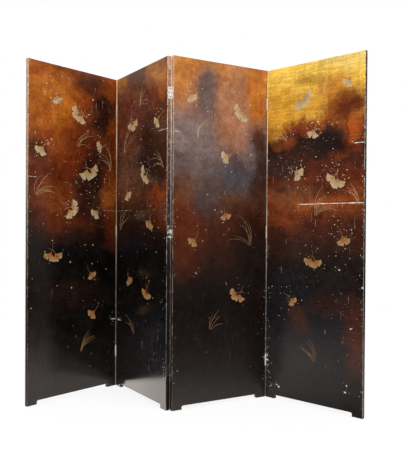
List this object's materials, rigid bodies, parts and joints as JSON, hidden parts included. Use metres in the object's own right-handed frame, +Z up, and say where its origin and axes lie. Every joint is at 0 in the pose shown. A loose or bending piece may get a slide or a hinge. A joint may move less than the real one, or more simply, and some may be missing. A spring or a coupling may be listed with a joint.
{
  "type": "folding screen",
  "caption": "Free-standing folding screen of tall lacquered leaves on flush feet, joined by butt hinges so that it folds flat in a zigzag.",
  "frame": {"origin": "on the floor, in the middle of the standing screen's plan box", "axes": "+X along the row of leaves to the viewer's right, +Y away from the viewer, +Z up; the fronts face -Y"},
  "size_m": [1.7196, 0.5816, 1.8],
  "materials": {
    "front_lacquer_1": "gloss",
    "front_lacquer_2": "gloss",
    "front_lacquer_3": "gloss",
    "front_lacquer_4": "gloss",
    "back_lacquer": "gloss",
    "edge_lacquer": "satin",
    "core_wood": "matte",
    "hinge_metal": "satin",
    "screw_metal": "satin"
  },
  "bodies": {
    "leaf_1": {"leaf_1_front_facing": "front_lacquer_1", "leaf_1_back_facing": "back_lacquer", "leaf_1_left_stile": "edge_lacquer", "leaf_1_right_stile": "edge_lacquer", "leaf_1_top_rail": "edge_lacquer", "leaf_1_foot_rail": "edge_lacquer", "leaf_1_core": "core_wood", "leaf_1_hinge_screws": "screw_metal", "fold_1_upper_left_plate": "hinge_metal", "fold_1_middle_left_plate": "hinge_metal", "fold_1_lower_left_plate": "hinge_metal"},
    "leaf_2": {"leaf_2_front_facing": "front_lacquer_2", "leaf_2_back_facing": "back_lacquer", "leaf_2_left_stile": "edge_lacquer", "leaf_2_right_stile": "edge_lacquer", "leaf_2_top_rail": "edge_lacquer", "leaf_2_foot_rail": "edge_lacquer", "leaf_2_core": "core_wood", "leaf_2_hinge_screws": "screw_metal", "fold_1_upper_right_plate": "hinge_metal", "fold_1_upper_pin": "hinge_metal", "fold_1_middle_right_plate": "hinge_metal", "fold_1_middle_pin": "hinge_metal", "fold_1_lower_right_plate": "hinge_metal", "fold_1_lower_pin": "hinge_metal", "fold_2_upper_left_plate": "hinge_metal", "fold_2_upper_pin": "hinge_metal", "fold_2_middle_left_plate": "hinge_metal", "fold_2_middle_pin": "hinge_metal", "fold_2_lower_left_plate": "hinge_metal", "fold_2_lower_pin": "hinge_metal"},
    "leaf_3": {"leaf_3_front_facing": "front_lacquer_3", "leaf_3_back_facing": "back_lacquer", "leaf_3_left_stile": "edge_lacquer", "leaf_3_right_stile": "edge_lacquer", "leaf_3_top_rail": "edge_lacquer", "leaf_3_foot_rail": "edge_lacquer", "leaf_3_core": "core_wood", "leaf_3_hinge_screws": "screw_metal", "fold_2_upper_right_plate": "hinge_metal", "fold_2_middle_right_plate": "hinge_metal", "fold_2_lower_right_plate": "hinge_metal", "fold_3_upper_left_plate": "hinge_metal", "fold_3_upper_pin": "hinge_metal", "fold_3_middle_left_plate": "hinge_metal", "fold_3_middle_pin": "hinge_metal", "fold_3_lower_left_plate": "hinge_metal", "fold_3_lower_pin": "hinge_metal"},
    "leaf_4": {"leaf_4_front_facing": "front_lacquer_4", "leaf_4_back_facing": "back_lacquer", "leaf_4_left_stile": "edge_lacquer", "leaf_4_right_stile": "edge_lacquer", "leaf_4_top_rail": "edge_lacquer", "leaf_4_foot_rail": "edge_lacquer", "leaf_4_core": "core_wood", "leaf_4_hinge_screws": "screw_metal", "fold_3_upper_right_plate": "hinge_metal", "fold_3_middle_right_plate": "hinge_metal", "fold_3_lower_right_plate": "hinge_metal"}
  },
  "joints": [
    {"name": "fold_1", "type": "hinge", "parent": "leaf_2", "child": "leaf_1", "pos_m": [-0.45353, 0.27565, 0], "axis": [0, 0, 1], "range_deg": [-100.9, 79.1]},
    {"name": "fold_2", "type": "hinge", "parent": "leaf_2", "child": "leaf_3", "pos_m": [-0.10395, -0.17141, 0], "axis": [0, 0, 1], "range_deg": [-82, 98]},
    {"name": "fold_3", "type": "hinge", "parent": "leaf_3", "child": "leaf_4", "pos_m": [0.40965, 0.07001, 0], "axis": [0, 0, 1], "range_deg": [-112.7, 67.3]}
  ]
}
